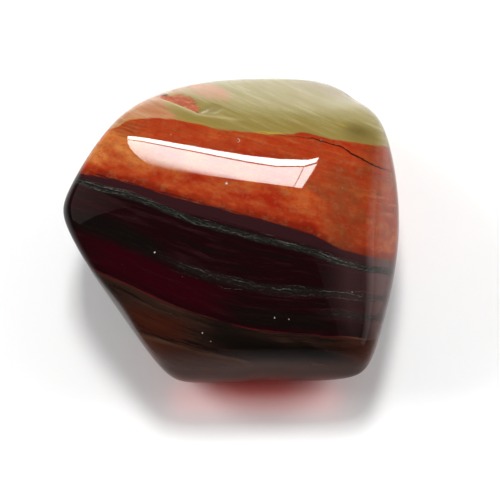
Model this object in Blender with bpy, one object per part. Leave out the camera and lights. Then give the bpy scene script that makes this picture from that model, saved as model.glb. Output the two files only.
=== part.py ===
"""Banded ironstone, tumbled and polished: one solid pebble that rests on a small flat spot.

The stone is worn from a round lump. Each worn face looks out from the stone's heart in its own
direction, lies at its own distance, and bulges a little. The faces run together in rounded
edges, a few shallow hollows dip between them, and the lowest face ends in the flat rest spot.
"""

import math

import bmesh
import bpy
from mathutils import Vector

# Sizes are in millimetres here, and MM turns them into metres.
MM = 0.001

# The heart is the point that every worn face is measured from, above the table.
HEART_HEIGHT = 6.5

# The lowest face is cut flat this far up, which leaves a rest spot about 9 mm across.
REST_CUT = 0.12

# Squares along each side of the starting cube, and how far its directions are
# flattened so that the squares stay even on a stone half as tall as it is wide.
GRID = 27
FLATNESS = 0.5

# Each worn face: name, azimuth and elevation in degrees, distance from the heart,
# radius that the face bulges to, and how tight its rounded edges are.
WORN_FACES = (
    ("table", 265, 80, 8.5, 60, 12),
    ("table_north", 77, 76, 6.95, 120, 14),
    ("north_slope", 82, 56, 8.25, 200, 18),
    ("east_flank", -2, 36, 12.7, 60, 20),
    ("east_side", 4, 2, 14.5, 80, 26),
    ("southeast_side", -11, -6, 14.75, 100, 34),
    ("northeast_shoulder", 25, 14, 15.6, 60, 24),
    ("south_side", 270, 5, 16.3, 120, 20),
    ("south_undercut", 270, -30, 15.5, 150, 26),
    ("southwest_side", 212, -17, 14.15, 200, 34),
    ("west_tip", 206, -12, 15.2, 60, 30),
    ("northwest_side", 151, 16, 14.3, 80, 26),
    ("northwest_shoulder", 122, 26, 13.6, 60, 20),
    ("north_side", 96, 30, 13.0, 150, 34),
    ("northeast_side", 58, 26, 15.7, 90, 26),
    ("underside", 0, -90, 6.5, 80, 14),
    ("under_north", 94, -35, 16.6, 60, 14),
    ("under_east", 0, -42, 12.6, 60, 12),
    ("under_west", 180, -40, 12.6, 60, 12),
)

# Each shallow hollow: name, azimuth and elevation of its middle, depth, and half width in degrees.
HOLLOWS = (
    ("southwest_dip", 229, 14, 0.45, 8),
    ("south_dip", 279, -7, 0.3, 9),
    ("northeast_dip", 52, 0, 0.3, 5),
    ("under_northwest_dip", 140, -42, 0.35, 13),
    ("under_southeast_dip", 310, -48, 0.3, 12),
)

# Beyond this angle a worn face no longer shapes the stone.
FACE_REACH = 0.2
LONGEST_RADIUS = 30.0
HALVINGS = 32

# Finish of the polished stone: a deep red brown, as glossy as glass.
STONE_COLOUR = (0.17, 0.03, 0.018, 1.0)
STONE_ROUGHNESS = 0.06


def clear_scene():
    """Start from an empty scene."""
    for item in list(bpy.data.objects):
        bpy.data.objects.remove(item, do_unlink=True)


def looking(azimuth, elevation):
    """Unit vector of a compass direction, counted from +X towards +Y, and a rise above level."""
    turn = math.radians(azimuth)
    rise = math.radians(elevation)
    return Vector((math.cos(turn) * math.cos(rise), math.sin(turn) * math.cos(rise), math.sin(rise)))


def worn_amount(direction, distance, faces):
    """Sum over the worn faces that reaches 1 on the surface of the stone."""
    total = 0.0
    for facing, height, bulge, sharpness in faces:
        lean = direction.dot(facing)
        if lean > -FACE_REACH:
            sideways = distance * distance * (1.0 - lean * lean)
            reached = distance * lean + sideways / (2.0 * bulge)
            total += max(reached / height, 0.0) ** sharpness
    return total


def worn_radius(direction, faces):
    """Distance from the heart to the surface, found by halving."""
    inner = 0.0
    outer = LONGEST_RADIUS
    for _ in range(HALVINGS):
        middle = (inner + outer) / 2.0
        if worn_amount(direction, middle, faces) < 1.0:
            inner = middle
        else:
            outer = middle
    return inner


def hollow_depth(direction, hollows):
    """How far the hollows sink the surface in this direction."""
    depth = 0.0
    for facing, deepest, half_width in hollows:
        apart = 2.0 - 2.0 * direction.dot(facing)
        depth += deepest * math.exp(-apart / (2.0 * half_width * half_width))
    return depth


def round_lump():
    """A cube split into an even grid, ready to be pushed out to the stone's shape."""
    lump = bmesh.new()
    bmesh.ops.create_cube(lump, size=2.0)
    bmesh.ops.subdivide_edges(lump, edges=lump.edges[:], cuts=GRID - 1, use_grid_fill=True)
    return lump


def wear(lump):
    """Push every point of the lump out along its direction to the worn surface, in millimetres."""
    faces = [(looking(turn, rise), height, bulge, sharpness)
             for _, turn, rise, height, bulge, sharpness in WORN_FACES]
    hollows = [(looking(turn, rise), depth, math.radians(half_width))
               for _, turn, rise, depth, half_width in HOLLOWS]
    heart = Vector((0.0, 0.0, HEART_HEIGHT))
    for point in lump.verts:
        direction = Vector((point.co.x, point.co.y, point.co.z * FLATNESS)).normalized()
        radius = worn_radius(direction, faces) - hollow_depth(direction, hollows)
        point.co = heart + direction * radius


def cut_rest_spot(lump):
    """Cut the lowest point off level, close the cut, and set it down at height zero."""
    lowest = min(point.co.z for point in lump.verts)
    level = Vector((0.0, 0.0, lowest + REST_CUT))
    everything = lump.verts[:] + lump.edges[:] + lump.faces[:]
    cut = bmesh.ops.bisect_plane(lump, geom=everything, plane_co=level, plane_no=(0, 0, -1),
                                 clear_outer=True)
    rim = [item for item in cut["geom_cut"] if isinstance(item, bmesh.types.BMEdge)]
    bmesh.ops.contextual_create(lump, geom=rim)
    bmesh.ops.translate(lump, verts=lump.verts[:], vec=-level)


def centre_in_plan(lump):
    """Bring the middle of the stone's outline, seen from above, over the origin."""
    across = [point.co.x for point in lump.verts]
    along = [point.co.y for point in lump.verts]
    middle = Vector(((min(across) + max(across)) / 2.0, (min(along) + max(along)) / 2.0, 0.0))
    bmesh.ops.translate(lump, verts=lump.verts[:], vec=-middle)


def polished_ironstone():
    """Material of the polished stone."""
    material = bpy.data.materials.new("polished_ironstone")
    material.use_nodes = True
    shader = material.node_tree.nodes["Principled BSDF"]
    shader.inputs["Base Color"].default_value = STONE_COLOUR
    shader.inputs["Roughness"].default_value = STONE_ROUGHNESS
    shader.inputs["Metallic"].default_value = 0.0
    material.diffuse_color = STONE_COLOUR
    return material


def make_stone(collection):
    """The whole stone, as one closed body in metres."""
    lump = round_lump()
    wear(lump)
    cut_rest_spot(lump)
    centre_in_plan(lump)
    bmesh.ops.scale(lump, vec=(MM, MM, MM), verts=lump.verts[:])
    bmesh.ops.triangulate(lump, faces=lump.faces[:])
    bmesh.ops.recalc_face_normals(lump, faces=lump.faces[:])
    mesh = bpy.data.meshes.new("stone")
    lump.to_mesh(mesh)
    lump.free()
    mesh.shade_smooth()
    mesh.materials.append(polished_ironstone())
    stone = bpy.data.objects.new("stone", mesh)
    collection.objects.link(stone)
    return stone


def main():
    clear_scene()
    collection = bpy.data.collections.new("banded_ironstone")
    bpy.context.scene.collection.children.link(collection)
    make_stone(collection)


main()
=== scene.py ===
"""Looks of the tumbled banded ironstone: polished skin, layered rock, paper, light and camera."""

import math

import bpy
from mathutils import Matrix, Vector


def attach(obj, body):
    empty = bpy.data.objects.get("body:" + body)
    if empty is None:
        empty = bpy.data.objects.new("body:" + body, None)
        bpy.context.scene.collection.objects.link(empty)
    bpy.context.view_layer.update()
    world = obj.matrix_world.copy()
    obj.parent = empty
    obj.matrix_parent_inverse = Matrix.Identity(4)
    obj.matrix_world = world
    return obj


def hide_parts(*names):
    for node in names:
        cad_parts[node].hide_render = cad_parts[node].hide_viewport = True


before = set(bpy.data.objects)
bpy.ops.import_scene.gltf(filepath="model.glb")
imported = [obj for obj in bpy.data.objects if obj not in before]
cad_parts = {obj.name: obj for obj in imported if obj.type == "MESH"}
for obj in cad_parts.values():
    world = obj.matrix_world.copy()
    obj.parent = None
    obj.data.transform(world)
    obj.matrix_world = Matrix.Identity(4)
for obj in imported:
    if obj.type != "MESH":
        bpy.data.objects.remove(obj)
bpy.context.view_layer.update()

# Lengths are written in millimetres, and MM turns them into metres. A border is a pair of values:
# where something starts to show, and where it shows in full.
MM = 0.001

# The heart is the point that every worn face is measured from. The surface is found by moving the
# points of a fine cube grid in WEAR_PASSES steps, each sized by WEAR_GRIP.
HEART = (0.875, -0.155, 6.38)
GRID_POINTS = 128
FLATNESS = 0.5
WEAR_PASSES = 22
WEAR_GRIP = 30.0

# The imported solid's facets cut a hair inside the true surface, so the skin is drawn in as much.
SKIN_SHARE = 0.9975

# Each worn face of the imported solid: name, azimuth and elevation in degrees, distance from the
# heart, radius that the face bulges to, and how tight its rounded edges are.
WORN_FACES = (
    ("table", 265, 80, 8.5, 60, 12),
    ("table north", 77, 76, 6.95, 120, 14),
    ("north slope", 82, 56, 8.25, 200, 18),
    ("east flank", -2, 36, 12.7, 60, 20),
    ("east side", 4, 2, 14.5, 80, 26),
    ("southeast side", -11, -6, 14.75, 100, 34),
    ("northeast shoulder", 25, 14, 15.6, 60, 24),
    ("south side", 270, 5, 16.3, 120, 20),
    ("south undercut", 270, -30, 15.5, 150, 26),
    ("southwest side", 212, -17, 14.15, 200, 34),
    ("west tip", 206, -12, 15.2, 60, 30),
    ("northwest side", 151, 16, 14.3, 80, 26),
    ("northwest shoulder", 122, 26, 13.6, 60, 20),
    ("north side", 96, 30, 13.0, 150, 34),
    ("northeast side", 58, 26, 15.7, 90, 26),
    ("underside", 0, -90, 6.5, 80, 14),
    ("under north", 94, -35, 16.6, 60, 14),
    ("under east", 0, -42, 12.6, 60, 12),
    ("under west", 180, -40, 12.6, 60, 12),
)

# Each shallow hollow: name, azimuth and elevation of its middle, depth, and half width in degrees.
HOLLOWS = (
    ("southwest dip", 229, 14, 0.45, 8),
    ("south dip", 279, -7, 0.3, 9),
    ("northeast dip", 52, 0, 0.3, 5),
    ("under northwest dip", 140, -42, 0.35, 13),
    ("under southeast dip", 310, -48, 0.3, 12),
)

# The flake chip on the north-west slope: where its sharp edge starts, and how it runs in plan. A
# dimple lies beyond its end. The dimple's borders are shares of its radius, squared.
CHIP_START = (-7.0, 9.9)
CHIP_HEADING = (0.80, -0.60)
CHIP_LENGTH = 5.0
CHIP_WIDTH = 1.9
CHIP_DEPTH = 0.27
CHIP_EDGE_BORDER = (-0.08, 0.14)
CHIP_START_BORDER = (0.1, 1.4)
CHIP_END_SOFTNESS = 0.3
CHIP_LOW_BORDER = (6.0, 7.0)
DIMPLE_MIDDLE = (-1.9, 7.8)
DIMPLE_RADIUS = 0.85
DIMPLE_DEPTH = 0.09
DIMPLE_BORDER = (1.4, 0.0)

# The layers lie in planes: this is how much each axis counts in the height across them. They sag
# below SAG_BORDER and waver everywhere, and their edges are ragged west of RAGGED_BORDER.
ACROSS_LAYERS = (0.32, 1.0, 0.7)
WAVER = 0.35
SAG_BORDER = (3.0, -1.0)
RAGGED_BORDER = (7.0, 0.0)

# How patterns are stretched: their scale along the layers, and across them. The olive's bands slant,
# and OLIVE_SLANT is how much each axis counts in the direction across them.
SHEET_STRETCH = (0.16, 1.5)
FIBRE_STRETCH = (0.45, 5.0)
LENS_STRETCH = (0.4, 1.0)
JASPER_STRETCH = (0.55, 0.9)
OLIVE_STRETCH = (0.12, 1.0)
OLIVE_SLANT = (0.55, 1.1, 0.8)

# Where the surface between two layers lies across them, for places along X. LAYER_SAG is how far the
# lower layers lie off their planes there. Each line runs from -LINE_REACH to LINE_REACH.
LINE_REACH = 16.0
OLIVE_EDGE = ((-16, 8.5), (-13, 9.2), (-10.7, 9.9), (-9.2, 11.3), (-6.9, 12.2), (-4.2, 12.75),
              (-1.5, 12.95), (2.2, 13.6), (5.1, 14.35), (6.4, 14.9), (8.3, 14.95), (9.4, 15.1),
              (13, 15.6), (16, 15.7))
JASPER_EDGE = ((-16, 4.3), (-13, 4.45), (-10.5, 4.9), (-1, 4.95), (5, 5.0), (7.5, 4.65),
               (10, 4.1), (16, 3.9))
UPPER_SILVER = ((-16, 3.5), (-9, 3.65), (-5, 3.25), (0, 2.95), (6, 3.1), (10, 2.75), (16, 2.9))
LAYER_SAG = ((-16, 0.8), (-12.2, 0.5), (-9.5, 0.1), (-6.2, -0.47), (-2.7, -0.93), (0, -1.0),
             (2.4, -0.85), (4.9, -0.35), (7.5, 0.2), (10.2, 0.75), (16, 1.2))
CRACK_LINE = ((-2, 13.3), (2.3, 13.8), (5.2, 14.15), (8.8, 14.55), (10.2, 14.15), (11.2, 13.8),
              (12.65, 13.4), (16, 12.7))
LOWER_SILVER_DEPTH = -0.9
FAINT_SILVER_DEPTH = -3.1
RED_LINE_DEPTH = -5.4
TAN_LINE = -10.2

# How soft the layers' edges are, and how far patterns push them to and fro. The thin red line has
# gaps, and it turns golden in the east.
OLIVE_BORDER = (-0.1, 0.1)
OLIVE_SWAY = 0.5
JASPER_BORDER = (-0.15, 0.15)
JASPER_RAG = 1.3
RED_LINE_BORDER = (-0.1, 0.1)
RED_LINE_SWAY = 0.35
RED_LINE_HALF_WIDTH = 0.14
RED_LINE_GAPS = (0.36, 0.56)
RED_LINE_STRENGTH = 0.75
GOLD_LINE_BORDER = (8.5, 11.0)

# Silver threads of a seam: height above its line, how far each wavers, half width and strength.
UPPER_THREADS = ((0.18, 0.5, 0.08, 0.85), (-0.1, 0.9, 0.06, 0.6), (0.35, 1.1, 0.05, 0.5),
                 (0.0, 1.3, 0.045, 0.45))
LOWER_THREADS = ((0.05, 0.7, 0.06, 0.7), (0.3, 1.3, 0.05, 0.4), (-0.4, 1.2, 0.055, 0.45),
                 (-0.8, 1.5, 0.045, 0.3))
FAINT_THREADS = ((0.0, 0.8, 0.05, 0.45), (0.4, 1.2, 0.045, 0.25))

# Each silver seam: its dark zone, from below its line to above it with a soft edge, how ragged the
# zone is and how strong, its western border along X, its threads and the first thread's number. The
# upper seam's border lies beyond the stone, so it runs all the way.
SILVER_SEAMS = (
    ((-0.36, 0.34, 0.14), 0.6, 1.0, (-30.0, -20.0), UPPER_THREADS, 1),
    ((-0.6, 0.3, 0.3), 0.6, 0.6, (-8.0, -2.0), LOWER_THREADS, 5),
    ((-0.4, 0.4, 0.3), 0.0, 0.7, (6.5, 9.5), FAINT_THREADS, 11),
)
SEAM_ZONE_STRENGTH = 0.85

# Fine silver dust between the threads, in the same grey with a painted sheen: its strength, and the
# border of its pattern.
SEAM_DUST = 0.2
SEAM_DUST_BORDER = (0.52, 0.68)

# Every thread reads its patterns a step further on, so that no two are alike: step and start on
# each axis. It crinkles, swells, breaks into dashes and grows faint by those patterns.
THREAD_STEPS = ((9.0, 0.0), (5.0, 0.0), (0.0, 2.0))
DASH_STEPS = ((13.0, 0.0), (0.0, 0.0), (0.0, 7.0))
THREAD_CRINKLE = 0.55
THREAD_SWELLING = (0.38, 0.68)
THREAD_GAPS = (0.42, 0.54)
THREAD_FAINT = (0.4, 0.55)
THINNEST_THREAD = 0.012
FAINTEST_THREAD = 0.25

# The crack: how far it jags, its half width and how much that widens over its wide part, how its
# strength grows from a first value to a second over a border of X, and where it ends.
CRACK_JAG = 0.45
CRACK_HALF_WIDTH = 0.07
CRACK_WIDENING = 0.1
CRACK_WIDE_PART = (8.5, 13.2, 1.2)
CRACK_STRENGTH = (0.35, 1.0, "x", 1.5, 9.0)
CRACK_WEST_END = (1.6, 3.0)
CRACK_LOW_END = (4.0, 6.0)

# Spots: place and radius. They are pale grains and pits in the polish, dark red spots near the
# north-east rim and a purple one in the north-west. SPOT_CORE is the solid share of the radius.
GRAINS = (
    ((-0.5, -1.8, 13.8), 0.17), ((-4.2, -10.2, 12.3), 0.08), ((-5.2, -13.1, 11.1), 0.08),
    ((-2.5, -14.7, 10.6), 0.1), ((-1.8, -15.3, 10.2), 0.08), ((-9.4, -8.8, 11.9), 0.08),
    ((-6.6, -8.0, 12.6), 0.11), ((-0.1, -13.2, 11.5), 0.07), ((3.6, -13.6, 11.3), 0.11),
    ((4.8, -13.7, 11.2), 0.1), ((1.1, -14.4, 11.0), 0.08), ((10.2, -11.2, 11.4), 0.07),
)
RIM_SPOTS = (((10.5, 13.2, 5.3), 0.62), ((11.2, 12.4, 5.8), 0.42))
PURPLE_SPOT = ((-6.25, 10.3, 9.45), 0.42)
SPOT_CORE = 0.4

# Crescent bruises in the polish: place, radius, strength, and 1 to curve round the east side or -1
# for the west. Each is part of a thin ring, whose sizes are shares of the radius.
BRUISES = (
    ((0.4, 3.3, 12.7), 0.34, 0.8, 1.0), ((7.9, 3.8, 11.9), 0.2, 0.6, -1.0),
    ((11.1, -0.3, 12.4), 0.2, 0.4, 1.0), ((9.6, -1.8, 13.0), 0.16, 0.4, -1.0),
    ((-5.5, 4.0, 12.6), 0.2, 0.4, 1.0),
)
BRUISE_RING = 0.7
BRUISE_BREADTH = 0.2
BRUISE_SIDE_BORDER = (-0.05, 0.15)
BRUISE_GRAIN = (0.3, 0.5)

# The south edge is undercut by a lens of red jasper: how high it reaches at LENS_SOUTH_Y, how much
# it tilts, and how ragged and soft its borders are.
LENS_HEIGHT = 3.3
LENS_TILT = 0.42
LENS_SOUTH_Y = -15.0
LENS_RAG = 1.6
LENS_BORDER = (0.45, -0.35)
LENS_NORTH_BORDER = (-6.0, -8.0)
LENS_STRENGTH = 0.9

# Colours of the rock, as linear red, green and blue.
OLIVE_EARTH = (0.09, 0.062, 0.014)
OLIVE_DARK = (0.225, 0.163, 0.042)
OLIVE_SHADE = (0.26, 0.21, 0.08)
OLIVE = (0.295, 0.25, 0.105)
OLIVE_PALE = (0.37, 0.325, 0.17)
OCHRE = (0.4, 0.27, 0.05)
SALMON = (0.46, 0.21, 0.125)
SALMON_PALE = (0.48, 0.32, 0.2)
SALMON_BROWN = (0.33, 0.12, 0.06)
LILAC_GREY = (0.27, 0.2, 0.18)
JASPER_SHADE = (0.14, 0.014, 0.005)
JASPER_DEEP = (0.28, 0.02, 0.006)
JASPER = (0.33, 0.05, 0.013)
JASPER_BRIGHT = (0.42, 0.1, 0.024)
JASPER_PALE = (0.55, 0.27, 0.12)
JASPER_AMBER = (0.41, 0.145, 0.04)
JASPER_GOLD = (0.54, 0.22, 0.06)
JASPER_BROWN = (0.17, 0.05, 0.018)
JASPER_DUST = (0.27, 0.11, 0.05)
MAROON_BLACK = (0.006, 0.005, 0.004)
MAROON = (0.014, 0.002, 0.003)
MAROON_PURPLE = (0.043, 0.014, 0.016)
# The next colour is not the rock's own. It is a painted reflection of the pale room on the east flank.
MAROON_EAST_REFLECTION = (0.115, 0.06, 0.056)
GLOW_RED = (0.034, 0.0008, 0.004)
SEAM_GREY = (0.015, 0.016, 0.0135)
# The next colour is the silver threads' own grey with their metallic sheen painted into it.
SILVER_AND_SHEEN = (0.15, 0.155, 0.13)
RED_LINE = (0.1, 0.008, 0.012)
GOLD_LINE = (0.16, 0.07, 0.03)
BROWN_BLACK = (0.007, 0.005, 0.0035)
BROWN_SCALLOP = (0.012, 0.005, 0.006)
BROWN = (0.035, 0.016, 0.011)
BROWN_WARM = (0.06, 0.03, 0.018)
BROWN_RED = (0.06, 0.013, 0.006)
BROWN_PALE = (0.11, 0.036, 0.023)
TAN = (0.13, 0.075, 0.04)
LENS_DARK = (0.13, 0.014, 0.01)
LENS_RED = (0.36, 0.04, 0.024)
CHIP_DARK = (0.24, 0.06, 0.035)
CHIP_RED = (0.4, 0.09, 0.045)
CHIP_PINK = (0.5, 0.19, 0.11)
CHIP_KHAKI = (0.23, 0.18, 0.068)
CHIP_RIDGE = (0.42, 0.35, 0.18)
PURPLE = (0.05, 0.015, 0.03)
RIM_RED = (0.09, 0.012, 0.012)
CRACK = (0.012, 0.005, 0.003)
GRAIN = (0.55, 0.5, 0.42)

# Each rock's own run of shades, from the dark parts of its pattern to the pale ones.
OLIVE_SHADES = ((0.3, OLIVE_SHADE), (0.5, OLIVE), (0.75, OLIVE_PALE))
JASPER_SHADES = ((0.34, JASPER_DEEP), (0.5, JASPER), (0.66, JASPER_BRIGHT))
MAROON_SHADES = ((0.3, MAROON_BLACK), (0.5, MAROON), (0.85, MAROON_PURPLE))
BROWN_SHADES = ((0.3, BROWN_BLACK), (0.52, BROWN), (0.75, BROWN_WARM))
LENS_SHADES = ((0.34, LENS_DARK), (0.6, LENS_RED))
CHIP_SHADES = ((0.36, CHIP_DARK), (0.5, CHIP_RED), (0.64, CHIP_PINK))

# Tints are laid over a rock in turn. Each row has a colour, a strength and one bound or more, and
# the tint shows where all its bounds hold. A bound names a measure of the rock, and then a border,
# or a stretch from low to high with a soft edge. A strength in brackets grows from its first value
# to its second over a border of its own.
OLIVE_TINTS = (
    (OLIVE_DARK, 0.7, ("over jasper", 3.0, 0.3)),
    (OLIVE_EARTH, 0.6, ("from patch", 2.4, 0.0)),
    (LILAC_GREY, 0.5, ("wavy across", 19.8, 22.0, 1.0), ("x", 3.0, 9.0)),
)
SALMON_TINTS = (
    (SALMON_PALE, 0.6, ("bands", 0.42, 0.62)),
    (SALMON_BROWN, 0.5, ("streaks", 0.5, 0.66)),
)
SALMON_PATCH = (0.85, ("wavy x", -4.3, -6.3))
OLIVE_MARKS = (
    (SALMON, 0.8, ("x", -6.0, -0.5, 0.8), ("across", 15.7, 17.4, 0.35), ("bands", 0.35, 0.6)),
    (OCHRE, 0.45, ("gold", 0.62, 0.72), ("x", -3.0, 3.0)),
    (OCHRE, 0.32, ("seam", 0.0, 0.22, 0.1), ("x", 0.0, -3.0), ("streaks", 0.35, 0.55)),
    (OCHRE, 0.8, ("seam", 0.0, 0.22, 0.1), ("x", 2.0, 5.0, 0.5), ("streaks", 0.35, 0.55)),
    (OLIVE_DARK, 0.3, ("grain", 0.52, 0.75)),
)
JASPER_TINTS = (
    (JASPER_AMBER, 0.5, ("amber height", 0.8, 3.8, 0.9), ("clouds", 0.42, 0.68)),
    (JASPER_GOLD, 0.85, ("x", -6.0, -10.0), ("across", 5.8, 9.8, 0.8), ("clouds", 0.2, 0.7)),
    (JASPER_DEEP, 0.85, ("red height", 2.0, 0.1)),
    (JASPER_SHADE, 0.75, ("rim height", 1.1, 0.2)),
    (JASPER_BROWN, 0.65, ("from bend", 2.4, 0.0), ("across", 13.5, 11.0), ("patches", 0.3, 0.5)),
    (JASPER_BROWN, (0.15, 0.55, "x", 1.0, 8.0), ("smoke", 0.48, 0.66), ("height", 1.0, 3.5)),
    (JASPER_DUST, 0.4, ("mottle", 0.5, 0.66)),
    (JASPER_DEEP, 0.4, ("mottle", 0.48, 0.34)),
    (JASPER_BROWN, (0.12, 0.42, "height", 3.0, 6.5), ("brown streaks", 0.5, 0.62)),
    (JASPER_BROWN, 0.7, ("from corner", 2.0, 0.0), ("fine", 0.4, 0.6)),
    (JASPER_BROWN, 0.35, ("x", 10.0, 13.5)),
    (JASPER_PALE, 0.4, ("x", 11.5, 13.0), ("across", 8.8, 10.2, 0.7), ("streaks", 0.48, 0.62)),
    (JASPER_DEEP, 0.4, ("grain", 0.5, 0.75)),
)
MAROON_TINTS = (
    (MAROON_PURPLE, 0.75, ("ragged across", 3.3, 3.9)),
    (MAROON_BLACK, 0.85, ("ragged depth", -1.5, 0.4, 0.4), ("x", -4.5, -8.0)),
    (GLOW_RED, 0.8, ("ragged depth", -4.9, -1.9, 0.6), ("x", -12.0, -1.0, 2.5)),
    # Painted reflection: the maroon turns lighter purple in the east, where the polish mirrors a pale
    # wall.
    (MAROON_PURPLE, 0.5, ("x", 7.5, 10.0), ("depth", -5.0, 0.0)),
    (MAROON_BLACK, 0.7, ("depth", -4.9, -3.3, 0.4), ("x", 0.0, 8.0, 1.5)),
    # Painted reflection: the maroon is made much lighter on the east flank, where the polish mirrors the
    # pale room.
    (MAROON_EAST_REFLECTION, 0.8, ("x", 10.8, 12.6)),
    (MAROON_PURPLE, 0.35, ("fine", 0.52, 0.8)),
)
BROWN_TINTS = (
    (BROWN_RED, 0.8, ("ragged across", -9.6, -7.4, 0.5), ("x", -9.0, -4.0, 1.5)),
    (BROWN_BLACK, 0.85, ("across", -9.0, -6.9, 0.5), ("x", -2.0, 5.5, 1.6)),
    (BROWN_RED, 0.7, ("across", -8.0, -4.6, 0.6), ("x", 8.0, 10.5)),
    (BROWN_BLACK, 0.85, ("wedge", 0.0, 1.6, 0.25), ("x", 4.0, 6.5)),
    (BROWN_SCALLOP, 0.9, ("from scallops", 0.13, 0.0), ("x", -8.5, 1.5, 1.0)),
    (TAN, 0.7, ("from tan", 0.3, 0.0), ("x", -8.5, 1.5, 1.0)),
)
BROWN_FIBRES = ((BROWN_BLACK, 0.4, ("fine", 0.5, 0.7)),)

# The brown rock is paler at its southern edge and low down: strength, measure and border of each.
BROWN_PALE_PARTS = ((0.65, "across", -9.4, -10.8), (0.52, "z", 9.0, 7.0))

# The olive's own measures: how far its bands push each border, how ragged the ochre seam is, the
# middle of the earthy patch, and where its pattern is read again for the gold.
OLIVE_DEEP_SWAY = 3.0
LILAC_SWAY = 4.0
SALMON_SWAY = 6.0
OCHRE_SEAM_RAG = 0.3
OLIVE_PATCH = (11.2, 5.4, 10.7)
GOLD_SHIFT = (7.0, 3.0, 1.0)

# The jasper's own measures: its streaked top, how far its patches push each border, the bend and
# the corner that are brown, and where its pattern is read again for the patches and the smoke.
JASPER_TOP_BORDER = (3.0, 6.5)
JASPER_TOP_STREAKS = 0.6
AMBER_SWAY = 2.0
RED_EDGE_SWAY = 4.0
RIM_SWAY = 1.6
JASPER_BEND_X = 9.4
JASPER_CORNER = (-9.3, 4.3, 12.0)
PATCHES_SHIFT = (11.0, 4.0, 2.0)
SMOKE_SHIFT = (3.0, 8.0, 5.0)

# The brown ironstone's own measures: how ragged the tan lamina is, the dark scallops over it, and a
# dark wedge.
TAN_RAG = 0.8
SCALLOPS_ABOVE_TAN = 0.5
SCALLOP_SWAY = 0.8
WEDGE_TILT = 0.18
WEDGE_HEIGHT = -6.9

# The chip's red hollow ends in an arch, whose middle is this share of the chip's length along it. A
# pale ridge runs just below the sharp edge and bends away beyond its end, and the dimple is khaki.
CHIP_MIDDLE = 0.48
CHIP_RED_STRENGTH = 0.9
CHIP_RED_EDGE = (-0.05, 0.12)
CHIP_RED_BORDER = (-0.1, 0.6)
CHIP_RAG = 1.6
CHIP_GRAIN_RAG = 0.5
RIDGE_BELOW = 0.18
RIDGE_HALF_WIDTH = 0.42
RIDGE_RUN = (0.6, 8.2, 0.8)
RIDGE_BEND = 0.5
DIMPLE_COLOUR_BORDER = (1.5, 0.3)

# Marks that cross the layers, in this order after the chip's red: mask, colour and strength.
MARKS = (
    ("dimple", CHIP_KHAKI, 0.6),
    ("chip ridge", CHIP_RIDGE, 0.6),
    ("purple spot", PURPLE, 0.9),
    ("rim spots", RIM_RED, 0.85),
    ("crack", CRACK, 0.95),
    ("bruises", GRAIN, 0.6),
    ("grains", GRAIN, 0.8),
)

# Finish: how rough the polish is, and how rough on silver, in the chip and in the bruises. Depths
# and the chip's grain are bump relief.
POLISH = 0.022
POLISH_IOR = 1.55
SILVER_ROUGHNESS = 0.16
CHIP_ROUGHNESS = 0.34
BRUISE_ROUGHNESS = 0.4
BRUISE_DEPTH = 0.02
PIT_DEPTH = 0.04
CHIP_GRAIN = 0.035

# Light. Directions are azimuth from north, +Y, towards +X, and elevation, in degrees. Distances and
# sizes are in metres here, apart from the red glow's, which are in millimetres.
WHITE = (1.0, 1.0, 1.0, 1.0)
STONE_MIDDLE = Vector((0.0, 0.0, 0.007))
ROOM_BRIGHTNESS = 0.36
SOUTH_ROOM_BRIGHTNESS = 0.03
ROOM_BORDER = (-0.55, 0.15)
ROOM_IN_POLISH = (0.02, 0.02, 0.023, 1.0)
SKY_DIRECTION = (-6.0, 70.0)
SKY_FAR = 1.2
SKY_SIZE = (0.26, 0.34)
SKY_ENERGY = 8.0
SIDE_DIRECTIONS = ((-80.0, 30.0), (77.0, 30.0))
SIDE_SIZE = (0.7, 0.6)
SIDE_ENERGIES = (12.0, 10.0)
GLOW_PLACE = Vector((2.0, -15.8, 1.1))
GLOW_SIZE = (15.0, 3.0)
GLOW_HEADING = Vector((0.0, -0.05, -1.0))
GLOW_ENERGY = 0.000036
GLOW_COLOUR = (1.0, 0.12, 0.09)

# The paper is white to the camera. In the polish it fades with distance beyond PAPER_REACH, is
# dimmer in the south, and loses more in the west and the east. Over FAR_PAPER it turns into plain
# white light for the camera, so that no dark horizon shows.
FLOOR_WIDTH = 6.0
MIDDLE_OF_FLOOR = (0.0, 0.0, 0.0)
PAPER_WHITE = (0.9, 0.9, 0.9)
PAPER_DARK = (0.02, 0.02, 0.02)
PAPER_ROUGHNESS = 0.9
PAPER_GLOSS = 0.1
PAPER_REACH = 0.034
SOUTH_PAPER_REACH = 0.012
SOUTH_PAPER_IN_POLISH = 0.5
PAPER_NORTH_BORDER = (-0.022, 0.004)
WEST_PAPER_BORDER = (-0.011, -0.02)
WEST_PAPER_LOSS = 0.55
EAST_PAPER_BORDER = (0.013, 0.02)
EAST_PAPER_LOSS = 0.4
FAR_PAPER = (0.08, 0.7)

# The north window: a bright strip over the sill, a dark bar, the main pane with its rows at these
# elevations, and a side pane beyond a thin upright bar.
WINDOW_FAR = 2.0
WINDOW_TINT = (0.82, 1.0, 1.0, 1.0)
STRIP_BRIGHTNESS = 20.0
PANE_BRIGHTNESS = 13.0
BAR_THICKNESS = 0.42
SIDE_BAR_THICKNESS = 0.1
SIDE_PANE_OVERHANG = 0.2
PANE_ROWS = (36.0, 39.0, 41.2)
PANE_LEAN = 0.18

# Columns of the window: azimuth, elevation of the sill, height of the strip, and how bright the
# pane is at its foot and in each of its rows.
WINDOW_COLUMNS = (
    (-8.8, 25.8, 1.7, 0.9, 0.6, 0.15, 0.0),
    (-6.0, 27.3, 1.7, 1.0, 0.85, 0.4, 0.0),
    (-2.8, 28.7, 1.7, 1.0, 1.0, 0.7, 0.05),
    (1.6, 30.2, 1.7, 1.0, 1.0, 0.95, 0.5),
    (5.2, 30.8, 2.0, 1.0, 1.0, 1.0, 0.8),
    (8.3, 30.7, 2.3, 1.0, 1.0, 1.0, 0.8),
    (11.1, 29.7, 2.0, 1.0, 1.0, 1.0, 0.8),
    (12.1, 28.4, 1.6, 1.0, 1.0, 1.0, 0.8),
)

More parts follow.
